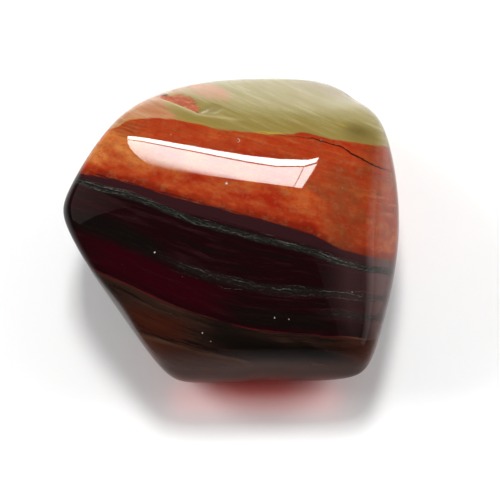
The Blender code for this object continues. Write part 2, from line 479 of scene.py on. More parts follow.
# Pale walls of the room and a card, as the polish mirrors them: rows of azimuth, elevation and
# brightness. The card stands close by, in front of the paper's far part.
SOUTHEAST_WALL = (
    ((80.0, 80.0, 0.0), (78.0, 56.0, 0.0), (76.0, 36.0, 0.0), (73.0, 20.0, 0.0)),
    ((107.0, 77.0, 0.2), (95.0, 56.0, 1.0), (86.0, 34.0, 0.8), (82.0, 17.0, 0.4)),
    ((119.0, 74.0, 0.25), (104.0, 55.0, 1.0), (90.0, 33.0, 0.8), (86.0, 16.0, 0.4)),
    ((127.0, 70.0, 0.3), (111.0, 53.0, 1.0), (97.0, 32.0, 0.8), (92.0, 15.0, 0.4)),
    ((135.0, 61.0, 0.3), (119.0, 45.0, 0.8), (103.0, 26.0, 0.6), (99.0, 11.0, 0.4)),
    ((153.0, 30.0, 0.3), (136.0, 18.0, 0.5), (118.0, 5.0, 0.4), (112.0, -1.0, 0.3)),
    ((160.0, 2.0, 0.4), (146.0, 0.0, 0.4), (130.0, -2.0, 0.3), (124.0, -5.0, 0.2)),
)
WEST_WALL = (
    ((-50.0, 14.0, 1.0), (-86.0, 20.0, 1.0)),
    ((-49.0, 44.0, 1.0), (-87.0, 44.0, 0.8)),
    ((-49.0, 58.0, 0.7), (-78.0, 58.0, 0.8)),
    ((-51.0, 62.5, 0.5), (-71.0, 62.5, 0.6)),
    ((-53.0, 66.0, 0.2), (-57.0, 66.0, 0.2)),
)
EAST_CARD = (
    ((45.0, 16.0, 0.0), (80.0, 16.0, 0.0), (125.0, 14.0, 0.0)),
    ((45.0, 9.0, 0.3), (80.0, 9.0, 0.6), (125.0, 7.0, 0.45)),
    ((45.0, 2.0, 0.5), (80.0, 2.0, 0.9), (125.0, 1.0, 0.65)),
    ((45.0, -5.0, 0.6), (80.0, -5.0, 1.1), (125.0, -5.0, 0.8)),
)
WALL_BRIGHTNESS = 0.5
WALL_TINT = (1.0, 0.72, 0.7, 1.0)
EAST_CARD_BRIGHTNESS = 0.75
EAST_CARD_FAR = 0.075

# The camera looks north and down. Its aim is in millimetres and its distance in metres.
CAMERA_AIM = Vector((1.52, -2.11, 4.40))
CAMERA_ELEVATION = 60.0
CAMERA_FAR = 0.1875
CAMERA_LENS = 150.0
CAMERA_SENSOR = 36.0
CAMERA_CLIP = (0.01, 20.0)
PICTURE_GAMMA = 0.88


class Field:
    """A number that varies from place to place. Sums, products and the like make new ones."""

    def __init__(self, bench, socket):
        self.bench = bench
        self.socket = socket

    def __add__(self, other):
        return self.bench.math("ADD", self, other)

    def __sub__(self, other):
        return self.bench.math("SUBTRACT", self, other)

    def __rsub__(self, other):
        return self.bench.math("SUBTRACT", other, self)

    def __mul__(self, other):
        return self.bench.math("MULTIPLY", self, other)

    def __truediv__(self, other):
        return self.bench.math("DIVIDE", self, other)


class Bench:
    """Lays nodes on one tree, for a shader or for geometry. Each method returns its result."""

    def __init__(self, tree):
        self.tree = tree

    def node(self, kind, **settings):
        made = self.tree.nodes.new(kind)
        for name, setting in settings.items():
            setattr(made, name, setting)
        return made

    def feed(self, socket, value):
        """Give a socket its value, or the wire that brings it."""
        if isinstance(value, Field):
            value = value.socket
        if isinstance(value, bpy.types.NodeSocket):
            self.tree.links.new(value, socket)
        else:
            socket.default_value = value

    def math(self, operation, first, second=0.0):
        made = self.node("ShaderNodeMath", operation=operation)
        for socket, value in zip(made.inputs, (first, second)):
            self.feed(socket, value)
        return Field(self, made.outputs[0])

    def vector(self, operation, first, second=None):
        made = self.node("ShaderNodeVectorMath", operation=operation)
        self.feed(made.inputs[0], first)
        if second is not None:
            self.feed(made.inputs[1], second)
        return made.outputs[0]

    def dot(self, first, second):
        made = self.node("ShaderNodeVectorMath", operation="DOT_PRODUCT")
        self.feed(made.inputs[0], first)
        self.feed(made.inputs[1], second)
        return Field(self, made.outputs["Value"])

    def scaled(self, place, amount):
        made = self.node("ShaderNodeVectorMath", operation="SCALE")
        self.feed(made.inputs[0], place)
        self.feed(made.inputs["Scale"], amount)
        return made.outputs[0]

    def split(self, place):
        made = self.node("ShaderNodeSeparateXYZ")
        self.feed(made.inputs[0], place)
        return [Field(self, socket) for socket in made.outputs]

    def shifted(self, place, offset):
        """The same pattern, read at another place."""
        return self.vector("ADD", place, offset)

    def position(self):
        return self.node("GeometryNodeInputPosition").outputs[0]

    def fade(self, value, start, end):
        """0 before start and 1 after end, with a soft step between. It also runs downwards."""
        made = self.node("ShaderNodeMapRange", interpolation_type="SMOOTHSTEP")
        for name, given in (("Value", value), ("From Min", start), ("From Max", end)):
            self.feed(made.inputs[name], given)
        return Field(self, made.outputs["Result"])

    def ridge(self, value, half_width):
        """1 where value is 0, falling to 0 at half_width on both sides."""
        return self.fade(self.math("ABSOLUTE", value), half_width, 0.0)

    def between(self, value, low, high, soft):
        """1 between low and high, fading to 0 on both sides over twice soft."""
        return self.fade(value, low - soft, low + soft) * self.fade(value, high + soft, high - soft)

    def largest(self, whole, *others):
        """The largest of some numbers."""
        for other in others:
            whole = self.math("MAXIMUM", whole, other)
        return whole

    def swayed(self, value, pattern, reach):
        """A number that a pattern pushes to and fro, over reach in all."""
        return value + (pattern - 0.5) * reach

    def grown(self, measures, least, most, name, start, end):
        """A number that grows from least to most over a border of the named measure."""
        return self.fade(measures[name], start, end) * (most - least) + least

    def away(self, place, middle):
        """Distance from a place to a fixed middle."""
        made = self.node("ShaderNodeVectorMath", operation="DISTANCE")
        self.feed(made.inputs[0], place)
        self.feed(made.inputs[1], middle)
        return Field(self, made.outputs["Value"])

    def along(self, place, points):
        """A smooth line through the given (place, height) points."""
        low = min(height for _, height in points)
        high = max(height for _, height in points)
        made = self.node("ShaderNodeFloatCurve")
        line = made.mapping.curves[0]
        while len(line.points) < len(points):
            line.points.new(0.5, 0.5)
        for point, (at, height) in zip(line.points, points):
            point.location = ((at + LINE_REACH) / (2 * LINE_REACH), (height - low) / (high - low))
            point.handle_type = "AUTO"
        made.mapping.update()
        self.feed(made.inputs["Value"], (place + LINE_REACH) / (2 * LINE_REACH))
        return Field(self, made.outputs[0]) * (high - low) + low

    def point(self, across, along, up):
        made = self.node("ShaderNodeCombineXYZ")
        for socket, value in zip(made.inputs, (across, along, up)):
            self.feed(socket, value)
        return made.outputs[0]

    def noise(self, place, size, detail=2.0, roughness=0.5):
        """Cloudy pattern between 0 and 1 whose lumps are about size millimetres wide."""
        made = self.node("ShaderNodeTexNoise")
        self.feed(made.inputs["Vector"], place)
        made.inputs["Scale"].default_value = 1.0 / size
        made.inputs["Detail"].default_value = detail
        made.inputs["Roughness"].default_value = roughness
        return Field(self, made.outputs[0])

    def mix(self, amount, under, over):
        """Lay one colour over another. A colour is a wire or three numbers."""
        made = self.node("ShaderNodeMix", data_type="RGBA", clamp_factor=True)
        self.feed(made.inputs[0], amount)
        for socket, colour in ((made.inputs[6], under), (made.inputs[7], over)):
            self.feed(socket, (*colour, 1.0) if isinstance(colour, tuple) else colour)
        return made.outputs[2]

    def tinted(self, colour, measures, tints):
        """Lay tints over a colour in turn. Their rows are explained above OLIVE_TINTS."""
        for tint, strength, *bounds in tints:
            amount = self.grown(measures, *strength) if isinstance(strength, tuple) else strength
            for name, *limits in bounds:
                inside = self.between if len(limits) == 3 else self.fade
                amount = inside(measures[name], *limits) * amount
            colour = self.mix(amount, colour, tint)
        return colour

    def shades(self, amount, stops):
        """A colour that runs through the stops, given as (place from 0 to 1, colour)."""
        made = self.node("ShaderNodeValToRGB")
        ramp = made.color_ramp
        ramp.interpolation = "EASE"
        while len(ramp.elements) < len(stops):
            ramp.elements.new(0.5)
        for element, (at, colour) in zip(ramp.elements, stops):
            element.position = at
            element.color = (*colour, 1.0)
        self.feed(made.inputs[0], amount)
        return made.outputs[0]


class Rock:
    """The stone as its material sees it: places in millimetres, heights across its layers, patterns."""

    def __init__(self, bench):
        self.bench = bench
        coordinates = bench.node("ShaderNodeTexCoord").outputs["Object"]
        self.place = bench.scaled(coordinates, 1.0 / MM)
        self.x, self.y, self.z = bench.split(self.place)
        level = self.x * ACROSS_LAYERS[0] + self.y * ACROSS_LAYERS[1] + self.z * ACROSS_LAYERS[2]
        self.across = bench.swayed(level, bench.noise(self.place, size=2.6, detail=3.0), WAVER)
        sag = bench.along(self.x, LAYER_SAG) * bench.fade(self.across, *SAG_BORDER)
        self.depth = self.across - sag
        self.lenses = self.stretched(self.depth, *LENS_STRETCH)
        sheets = self.stretched(self.depth, *SHEET_STRETCH)
        fibres = self.stretched(self.depth, *FIBRE_STRETCH)
        self.streaks = bench.noise(sheets, size=1.0, detail=4.0, roughness=0.65)
        self.fine = bench.noise(fibres, size=1.0, detail=3.0, roughness=0.6)
        self.grain = bench.noise(self.place, size=0.35, detail=2.0, roughness=0.7)
        self.ragged = (self.fine - 0.5) * bench.fade(self.x, *RAGGED_BORDER)
        self.over_jasper = self.height_over(JASPER_EDGE)
        self.over_olive = self.height_over(OLIVE_EDGE)
        self.measures = {
            "x": self.x, "z": self.z, "across": self.across, "depth": self.depth,
            "ragged across": self.across + self.ragged, "ragged depth": self.depth + self.ragged,
            "streaks": self.streaks, "fine": self.fine, "grain": self.grain,
        }

    def stretched(self, height, along, across):
        """Places for a pattern that is drawn out along the layers. Smaller numbers stretch it more."""
        return self.bench.point(self.x * along, height * across, self.z * along)

    def height_over(self, line):
        """Height across the layers above a line that is given along X."""
        return self.across - self.bench.along(self.x, line)


def olive_mudstone(bench, rock):
    """Olive at the thin north edge: deep next to the jasper, paler and greyer away from it."""
    slant = rock.stretched(rock.x * OLIVE_SLANT[0] + rock.y * OLIVE_SLANT[1] + rock.z * OLIVE_SLANT[2],
                           *OLIVE_STRETCH)
    bands = bench.noise(slant, size=0.5, detail=4.0, roughness=0.62)
    measures = {
        **rock.measures, "bands": bands,
        "over jasper": bench.swayed(rock.over_olive, bands, OLIVE_DEEP_SWAY),
        "wavy across": bench.swayed(rock.across, bands, LILAC_SWAY),
        "wavy x": bench.swayed(rock.x, bands, SALMON_SWAY),
        "seam": rock.over_olive + rock.ragged * OCHRE_SEAM_RAG,
        "from patch": bench.away(rock.place, OLIVE_PATCH),
        "gold": bench.noise(bench.shifted(slant, GOLD_SHIFT), size=0.45, detail=2.0),
    }
    colour = bench.tinted(bench.shades(bands, OLIVE_SHADES), measures, OLIVE_TINTS)
    salmon = bench.tinted(SALMON, measures, SALMON_TINTS)
    colour = bench.tinted(colour, measures, ((salmon, *SALMON_PATCH),))
    return bench.tinted(colour, measures, OLIVE_MARKS)


def orange_jasper(bench, rock):
    """Brick-orange jasper: streaked on top, cloudy with amber low down, red along its lower edge."""
    height = rock.over_jasper
    blurred = rock.stretched(rock.across, *JASPER_STRETCH)
    patches = bench.noise(bench.shifted(blurred, PATCHES_SHIFT), size=1.9, detail=4.0, roughness=0.6)
    streaky = bench.fade(height, *JASPER_TOP_BORDER) * JASPER_TOP_STREAKS
    flow = patches * (1.0 - streaky) + rock.streaks * streaky
    measures = {
        **rock.measures, "patches": patches, "height": height,
        "clouds": bench.noise(blurred, size=1.5, detail=4.0, roughness=0.6),
        "smoke": bench.noise(bench.shifted(blurred, SMOKE_SHIFT), size=1.2, detail=4.0),
        "mottle": bench.noise(rock.place, size=0.8, detail=5.0, roughness=0.7),
        "brown streaks": rock.fine * 0.5 + rock.streaks * 0.5,
        "amber height": bench.swayed(height, patches, AMBER_SWAY),
        "red height": bench.swayed(height, patches, RED_EDGE_SWAY),
        "rim height": bench.swayed(height, patches, RIM_SWAY),
        "from bend": bench.math("ABSOLUTE", rock.x - JASPER_BEND_X),
        "from corner": bench.away(rock.place, JASPER_CORNER),
    }
    return bench.tinted(bench.shades(flow, JASPER_SHADES), measures, JASPER_TINTS)


def maroon_ironstone(bench, rock):
    """Almost black red iron layers: purple on top, black in the west, glowing red in the south-west, and
    lighter in the east by a painted reflection.
    """
    return bench.tinted(bench.shades(rock.streaks, MAROON_SHADES), rock.measures, MAROON_TINTS)


def brown_ironstone(bench, rock):
    """Brown and green-black iron layers under the red line, with a tan lamina low down."""
    over_tan = rock.across - TAN_LINE + rock.ragged * TAN_RAG
    bumps = bench.noise(rock.place, size=0.9)
    scallops = bench.swayed(over_tan - SCALLOPS_ABOVE_TAN, bumps, SCALLOP_SWAY)
    measures = {
        **rock.measures,
        "wedge": rock.across + rock.x * WEDGE_TILT - WEDGE_HEIGHT,
        "from scallops": bench.math("ABSOLUTE", scallops),
        "from tan": bench.math("ABSOLUTE", over_tan),
    }
    colour = bench.tinted(bench.shades(rock.streaks, BROWN_SHADES), measures, BROWN_TINTS)
    pale = bench.largest(*[bench.fade(rock.measures[name], start, end) * strength
                           for strength, name, start, end in BROWN_PALE_PARTS])
    colour = bench.mix(pale, colour, BROWN_PALE)
    return bench.tinted(colour, measures, BROWN_FIBRES)


def red_lens(bench, rock):
    """The red jasper lens under the south edge: how much of it there is, and its colour."""
    height = rock.z + (rock.y - LENS_SOUTH_Y) * LENS_TILT - LENS_HEIGHT
    height = bench.swayed(height, bench.noise(rock.lenses, size=1.3, detail=4.0), LENS_RAG)
    amount = bench.fade(height, *LENS_BORDER) * bench.fade(rock.y, *LENS_NORTH_BORDER)
    return amount, bench.shades(rock.streaks, LENS_SHADES)


def silver_thread(bench, rock, height, sway, half_width, number):
    """A thin crinkled line in the layering, broken into dashes. It runs where height is 0."""
    place = bench.shifted(rock.place, [step * number + start for step, start in THREAD_STEPS])
    along = bench.shifted(rock.lenses, [step * number + start for step, start in DASH_STEPS])
    crinkles = bench.noise(place, size=0.55, detail=4.0, roughness=0.72)
    height = bench.swayed(height, bench.noise(place, size=3.2, detail=1.0), sway)
    height = bench.swayed(height, crinkles, THREAD_CRINKLE)
    dashes = bench.noise(along, size=1.1, detail=4.0)
    width = bench.fade(dashes, *THREAD_SWELLING) * half_width + THINNEST_THREAD
    broken = bench.fade(rock.fine * 0.5 + dashes * 0.5, *THREAD_GAPS)
    thinned = bench.fade(bench.noise(place, size=0.4, detail=2.0), *THREAD_FAINT)
    return bench.ridge(height, width) * broken * (thinned * (1.0 - FAINTEST_THREAD) + FAINTEST_THREAD)


def silver_seam(bench, rock, height, threads, first):
    """All threads of one seam, as a mask."""
    return bench.largest(*[
        silver_thread(bench, rock, height - above, sway, half_width, first + number) * strength
        for number, (above, sway, half_width, strength) in enumerate(threads)])


def silver_seams(bench, rock):
    """Masks of the dark zones round the three silver seams, and of their threads."""
    heights = (rock.height_over(UPPER_SILVER), rock.depth - LOWER_SILVER_DEPTH,
               rock.depth - FAINT_SILVER_DEPTH)
    zones = []
    seams = []
    for height, (zone, rag, strength, start, threads, first) in zip(heights, SILVER_SEAMS):
        here = bench.fade(rock.x, *start)
        zones.append(bench.between(height + rock.ragged * rag, *zone) * here * strength)
        seams.append(silver_seam(bench, rock, height, threads, first) * here)
    dark = bench.largest(*zones)
    dust = bench.fade(bench.noise(rock.lenses, size=0.18, detail=3.0, roughness=0.7), *SEAM_DUST_BORDER)
    return dark, bench.largest(*seams, dust * dark * SEAM_DUST)


def crack(bench, rock):
    """The hairline crack along the top of the jasper, widest in the east, as a mask."""
    jags = bench.noise(rock.place, size=0.8, detail=3.0)
    gap = bench.swayed(rock.height_over(CRACK_LINE), jags, CRACK_JAG)
    half_width = bench.between(rock.x, *CRACK_WIDE_PART) * CRACK_WIDENING + CRACK_HALF_WIDTH
    strength = bench.grown(rock.measures, *CRACK_STRENGTH)
    ends = bench.fade(rock.x, *CRACK_WEST_END) * bench.fade(rock.z, *CRACK_LOW_END)
    return bench.ridge(gap, half_width) * strength * ends


def spots(bench, rock, table):
    """A mask with a soft round spot at each place of the table."""
    return bench.largest(*[bench.fade(bench.away(rock.place, middle), radius, radius * SPOT_CORE)
                           for middle, radius in table])


def bruises(bench, rock):
    """Small crescent bruises in the polish, as a mask: part of a thin ring each."""
    rings = []
    for middle, radius, strength, side in BRUISES:
        from_ring = bench.away(rock.place, middle) - radius * BRUISE_RING
        ring = bench.ridge(from_ring, radius * BRUISE_BREADTH)
        ring = ring * bench.fade((rock.x - middle[0]) * side, *BRUISE_SIDE_BORDER)
        rings.append(ring * bench.fade(rock.grain, *BRUISE_GRAIN) * strength)
    return bench.largest(*rings)


def chip_masks(bench, rock):
    """Masks of the chip's red hollow, the pale ridge along its edge, and the dimple."""
    run, side = chip_place(rock.x, rock.y)
    above = bench.fade(rock.z, *CHIP_LOW_BORDER)
    rag = (rock.grain - 0.5) * CHIP_GRAIN_RAG
    rag = bench.swayed(rag, bench.noise(rock.place, size=0.7, detail=3.0, roughness=0.65), CHIP_RAG)
    from_middle = (run - CHIP_LENGTH * CHIP_MIDDLE) / (CHIP_LENGTH / 2.0)
    arch = (1.0 - from_middle * from_middle) * CHIP_WIDTH
    hollow = bench.fade(side, *CHIP_RED_EDGE) * bench.fade(arch - side + rag, *CHIP_RED_BORDER)
    bent = side - bench.math("MAXIMUM", run - CHIP_LENGTH, 0.0) * RIDGE_BEND
    ridge = bench.ridge(bent + RIDGE_BELOW, RIDGE_HALF_WIDTH) * bench.between(run, *RIDGE_RUN)
    dimple = bench.fade(dimple_place(rock.x, rock.y) + rag, *DIMPLE_COLOUR_BORDER)
    return {"chip": hollow * above, "chip ridge": ridge * above, "dimple": dimple * above}


def iron_layers(bench, rock, zone, threads):
    """Maroon ironstone with its silver seams over brown ironstone, and the red line between them."""
    maroon = bench.mix(zone * SEAM_ZONE_STRENGTH, maroon_ironstone(bench, rock), SEAM_GREY)
    # The silver threads get their grey with a painted sheen.
    maroon = bench.mix(threads, maroon, SILVER_AND_SHEEN)
    height = rock.depth - RED_LINE_DEPTH
    colour = bench.mix(bench.fade(height, *RED_LINE_BORDER), brown_ironstone(bench, rock), maroon)
    line = bench.mix(bench.fade(rock.x, *GOLD_LINE_BORDER), RED_LINE, GOLD_LINE)
    on_line = bench.ridge(bench.swayed(height, rock.fine, RED_LINE_SWAY), RED_LINE_HALF_WIDTH)
    on_line = on_line * bench.fade(rock.streaks, *RED_LINE_GAPS)
    return bench.mix(on_line * RED_LINE_STRENGTH, colour, line)


def ironstone_colour(bench, rock, masks):
    """The layers from the bottom up, and then the marks that cross them."""
    colour = iron_layers(bench, rock, masks["seam zone"], masks["silver"])
    lens, lens_colour = red_lens(bench, rock)
    colour = bench.mix(lens * LENS_STRENGTH, colour, lens_colour)
    in_jasper = bench.fade(rock.over_jasper + rock.ragged * JASPER_RAG, *JASPER_BORDER)
    colour = bench.mix(in_jasper, colour, orange_jasper(bench, rock))
    in_olive = bench.fade(bench.swayed(rock.over_olive, rock.streaks, OLIVE_SWAY), *OLIVE_BORDER)
    colour = bench.mix(in_olive, colour, olive_mudstone(bench, rock))
    mottle = bench.noise(rock.place, size=0.55, detail=4.0, roughness=0.7)
    colour = bench.mix(masks["chip"] * CHIP_RED_STRENGTH, colour, bench.shades(mottle, CHIP_SHADES))
    for name, tint, strength in MARKS:
        colour = bench.mix(masks[name] * strength, colour, tint)
    return colour


def ironstone_material():
    """The banded rock under a high polish, duller on silver, in the chip and in the bruises."""
    material = bpy.data.materials.new("banded_ironstone_polish")
    material.use_nodes = True
    tree = material.node_tree
    bench = Bench(tree)
    shader = tree.nodes["Principled BSDF"]
    rock = Rock(bench)
    zone, threads = silver_seams(bench, rock)
    masks = {
        "seam zone": zone, "silver": threads, "crack": crack(bench, rock),
        "bruises": bruises(bench, rock), "grains": spots(bench, rock, GRAINS),
        "purple spot": spots(bench, rock, (PURPLE_SPOT,)), "rim spots": spots(bench, rock, RIM_SPOTS),
        **chip_masks(bench, rock),
    }
    bench.feed(shader.inputs["Base Color"], ironstone_colour(bench, rock, masks))

    rough = masks["chip"] * (CHIP_ROUGHNESS - POLISH) + threads * (SILVER_ROUGHNESS - POLISH)
    rough = bench.largest(rough + POLISH, masks["bruises"] * BRUISE_ROUGHNESS)
    bench.feed(shader.inputs["Roughness"], rough)

    height = masks["chip"] * (bench.noise(rock.place, size=0.5, detail=3.0) - 0.5) * CHIP_GRAIN
    height = height - masks["bruises"] * BRUISE_DEPTH - masks["grains"] * PIT_DEPTH
    relief = bench.node("ShaderNodeBump")
    relief.inputs["Distance"].default_value = MM
    bench.feed(relief.inputs["Height"], height)
    bench.feed(shader.inputs["Normal"], relief.outputs[0])
    shader.inputs["IOR"].default_value = POLISH_IOR
    return material


def skin_sizes():
    """Every size that the skin's tree takes, by the name of its input, in millimetres."""
    sizes = {"Grid Points": GRID_POINTS, "Wear Passes": WEAR_PASSES, "Heart Height": HEART[2]}
    for name, _, _, distance, _, _ in WORN_FACES:
        sizes[name] = distance
    for name, _, _, depth, _ in HOLLOWS:
        sizes[name] = depth
    sizes["Chip Depth"] = CHIP_DEPTH
    sizes["Dimple Depth"] = DIMPLE_DEPTH
    return sizes


def add_inputs(tree, sizes):
    """Give a geometry tree its geometry, its material and its named sizes."""
    face = tree.interface
    face.new_socket("Geometry", in_out="OUTPUT", socket_type="NodeSocketGeometry")
    face.new_socket("Geometry", in_out="INPUT", socket_type="NodeSocketGeometry")
    face.new_socket("Finish", in_out="INPUT", socket_type="NodeSocketMaterial")
    for name, value in sizes.items():
        kind = "NodeSocketInt" if isinstance(value, int) else "NodeSocketFloat"
        face.new_socket(name, in_out="INPUT", socket_type=kind)


def compass(azimuth, elevation):
    """Unit vector of a direction: azimuth from +X towards +Y, and a rise above level, in degrees."""
    turn = math.radians(azimuth)
    rise = math.radians(elevation)
    return (math.cos(turn) * math.cos(rise), math.sin(turn) * math.cos(rise), math.sin(rise))


def worn_amount(bench, arm, sizes):
    """Sum over the worn faces that reaches 1 on the surface. arm is the way from the heart."""
    square = bench.dot(arm, arm)
    total = 0.0
    for name, azimuth, elevation, _, bulge, sharpness in WORN_FACES:
        lean = bench.dot(arm, compass(azimuth, elevation))
        reached = lean + (square - lean * lean) / (2.0 * bulge)
        share = bench.math("MAXIMUM", reached / sizes[name], 0.0)
        total = bench.math("POWER", share, float(sharpness)) + total
    return total


def hollow_depth(bench, direction, sizes):
    """How far the hollows sink the surface in this direction."""
    total = 0.0
    for name, azimuth, elevation, _, half_width in HOLLOWS:
        spread = math.radians(half_width) ** 2
        near = bench.dot(direction, compass(azimuth, elevation))
        total = bench.math("EXPONENT", (near - 1.0) / spread) * sizes[name] + total
    return total


def chip_place(x, y):
    """How far along the chip's sharp edge a point is, and how far to its upper side."""
    east, north = CHIP_HEADING
    from_x = x - CHIP_START[0]
    from_y = y - CHIP_START[1]
    return from_x * east + from_y * north, from_x * -north + from_y * east


def dimple_place(x, y):
    """0 in the middle of the dimple and 1 at its rim, growing with the square of the distance."""
    dip_x = x - DIMPLE_MIDDLE[0]
    dip_y = y - DIMPLE_MIDDLE[1]
    return (dip_x * dip_x + dip_y * dip_y) / DIMPLE_RADIUS ** 2


def chip_depth(bench, x, y, z, sizes):
    """How deep the flake chip and the dimple at its end go at each point of the skin."""
    run, side = chip_place(x, y)
    wedge = bench.fade(side, *CHIP_EDGE_BORDER) * bench.math("MAXIMUM", 1.0 - side / CHIP_WIDTH, 0.0)
    end = bench.fade(run, CHIP_LENGTH + CHIP_END_SOFTNESS, CHIP_LENGTH - CHIP_END_SOFTNESS)
    span = bench.fade(run, *CHIP_START_BORDER) * end
    bowl = bench.fade(dimple_place(x, y), *DIMPLE_BORDER)
    above = bench.fade(z, *CHIP_LOW_BORDER)
    return (wedge * span * sizes["Chip Depth"] + bowl * sizes["Dimple Depth"]) * above


def moved(bench, mesh, name, value):
    """Set the position, or shift it by an offset."""
    step = bench.node("GeometryNodeSetPosition")
    bench.feed(step.inputs["Geometry"], mesh)
    bench.feed(step.inputs[name], value)
    return step.outputs[0]


def round_lump(bench, sizes):
    """A fine cube grid pushed out to a flattened ball round the origin, one millimetre in radius."""
    cube = bench.node("GeometryNodeMeshCube")
    cube.inputs["Size"].default_value = (2.0, 2.0, 2.0)
    for axis in "XYZ":
        bench.feed(cube.inputs["Vertices " + axis], sizes["Grid Points"])
    flat = bench.vector("MULTIPLY", bench.position(), (1.0, 1.0, FLATNESS))
    return moved(bench, cube.outputs["Mesh"], "Position", bench.vector("NORMALIZE", flat))


def wear(bench, lump, sizes):
    """Move every point along its direction, pass after pass, until it lies on the worn surface."""
    start = bench.node("GeometryNodeRepeatInput")
    end = bench.node("GeometryNodeRepeatOutput")
    start.pair_with_output(end)
    bench.feed(start.inputs["Iterations"], sizes["Wear Passes"])
    bench.feed(start.inputs["Geometry"], lump)
    arm = bench.position()
    step = bench.math("POWER", worn_amount(bench, arm, sizes), -1.0 / WEAR_GRIP)
    bench.feed(end.inputs["Geometry"],
               moved(bench, start.outputs["Geometry"], "Position", bench.scaled(arm, step)))
    return end.outputs["Geometry"]


def skin_tree(sizes):
    """Geometry tree of the whole skin: wear, hollows, rest spot and chip."""
    tree = bpy.data.node_groups.new("polished_skin", "GeometryNodeTree")
    add_inputs(tree, sizes)
    bench = Bench(tree)
    source = bench.node("NodeGroupInput")
    given = {socket.name: Field(bench, socket) for socket in source.outputs if socket.name}

    stone = wear(bench, round_lump(bench, given), given)
    arm = bench.position()
    direction = bench.vector("NORMALIZE", arm)
    sunk = bench.scaled(direction, hollow_depth(bench, direction, given) * -1.0)
    stone = moved(bench, stone, "Offset", sunk)
    heart = bench.point(HEART[0], HEART[1], given["Heart Height"])
    stone = moved(bench, stone, "Offset", heart)
    x, y, z = bench.split(bench.position())
    stone = moved(bench, stone, "Position", bench.point(x, y, bench.math("MAXIMUM", z, 0.0)))
    depth = chip_depth(bench, x, y, z, given) * -1.0
    normal = bench.node("GeometryNodeInputNormal").outputs[0]
    stone = moved(bench, stone, "Offset", bench.scaled(normal, depth))
    stone = moved(bench, stone, "Position", bench.scaled(bench.position(), MM * SKIN_SHARE))

    smooth = bench.node("GeometryNodeSetShadeSmooth")
    bench.feed(smooth.inputs["Geometry"], stone)
    whole = bench.node("GeometryNodeRealizeInstances")
    bench.feed(whole.inputs["Geometry"], smooth.outputs[0])
    finish = bench.node("GeometryNodeSetMaterial")
    bench.feed(finish.inputs["Geometry"], whole.outputs[0])
    bench.feed(finish.inputs["Material"], given["Finish"])
    end = bench.node("NodeGroupOutput")
    bench.feed(end.inputs[0], finish.outputs[0])
    return tree


def polished_skin(material):
    """The stone's visible surface, as a plain mesh."""
    sizes = skin_sizes()
    tree = skin_tree(sizes)
    rough = bpy.data.objects.new("rough_stone", bpy.data.meshes.new("rough_stone"))
    bpy.context.scene.collection.objects.link(rough)
    step = rough.modifiers.new("skin", "NODES")
    step.node_group = tree
    for item in tree.interface.items_tree:
        if item.in_out == "INPUT" and item.name in sizes:
            step[item.identifier] = sizes[item.name]
        elif item.in_out == "INPUT" and item.name == "Finish":
            step[item.identifier] = material
    done = rough.evaluated_get(bpy.context.evaluated_depsgraph_get())
    mesh = bpy.data.meshes.new_from_object(done)
    mesh.name = "polished_pebble"
    bpy.data.objects.remove(rough)
    skin = bpy.data.objects.new("polished_pebble", mesh)
    bpy.context.scene.collection.objects.link(skin)
    return skin


def paper_in_polish(bench, place):
    """How much of the paper's white the polish mirrors at each place."""
    east, along, _ = bench.split(place)
    north = bench.fade(along, *PAPER_NORTH_BORDER)
    reach = north * (PAPER_REACH - SOUTH_PAPER_REACH) + SOUTH_PAPER_REACH
    share = bench.math("MINIMUM", reach / bench.away(place, MIDDLE_OF_FLOOR), 1.0)
    share = share * (north * (1.0 - SOUTH_PAPER_IN_POLISH) + SOUTH_PAPER_IN_POLISH)
    share = share * (1.0 - bench.fade(east, *WEST_PAPER_BORDER) * WEST_PAPER_LOSS)
    return share * (1.0 - bench.fade(east, *EAST_PAPER_BORDER) * EAST_PAPER_LOSS)


def paper_floor():
    """A wide sheet of matte white paper. It looks dimmer in the polish, and plain white far off."""
    bpy.ops.mesh.primitive_plane_add(size=FLOOR_WIDTH)
    floor = bpy.context.object
    floor.name = "paper_floor"
    material = bpy.data.materials.new("matte_paper")
    material.use_nodes = True
    bench = Bench(material.node_tree)
    shader = material.node_tree.nodes["Principled BSDF"]
    place = bench.node("ShaderNodeTexCoord").outputs["Object"]
    ray = bench.node("ShaderNodeLightPath").outputs
    mirrored = bench.mix(paper_in_polish(bench, place), PAPER_DARK, PAPER_WHITE)
    bench.feed(shader.inputs["Base Color"],
               bench.mix(Field(bench, ray["Is Glossy Ray"]), PAPER_WHITE, mirrored))
    shader.inputs["Roughness"].default_value = PAPER_ROUGHNESS
    shader.inputs["Specular IOR Level"].default_value = PAPER_GLOSS
    shader.inputs["Emission Color"].default_value = WHITE
    far = bench.fade(bench.away(place, MIDDLE_OF_FLOOR), *FAR_PAPER)
    bench.feed(shader.inputs["Emission Strength"], far * Field(bench, ray["Is Camera Ray"]))
    floor.data.materials.append(material)


def looking(azimuth, elevation):
    """Unit vector of a direction: azimuth from +Y towards +X, and a rise above level, in degrees."""
    turn = math.radians(azimuth)
    rise = math.radians(elevation)
    return Vector((math.sin(turn) * math.cos(rise), math.cos(turn) * math.cos(rise), math.sin(rise)))


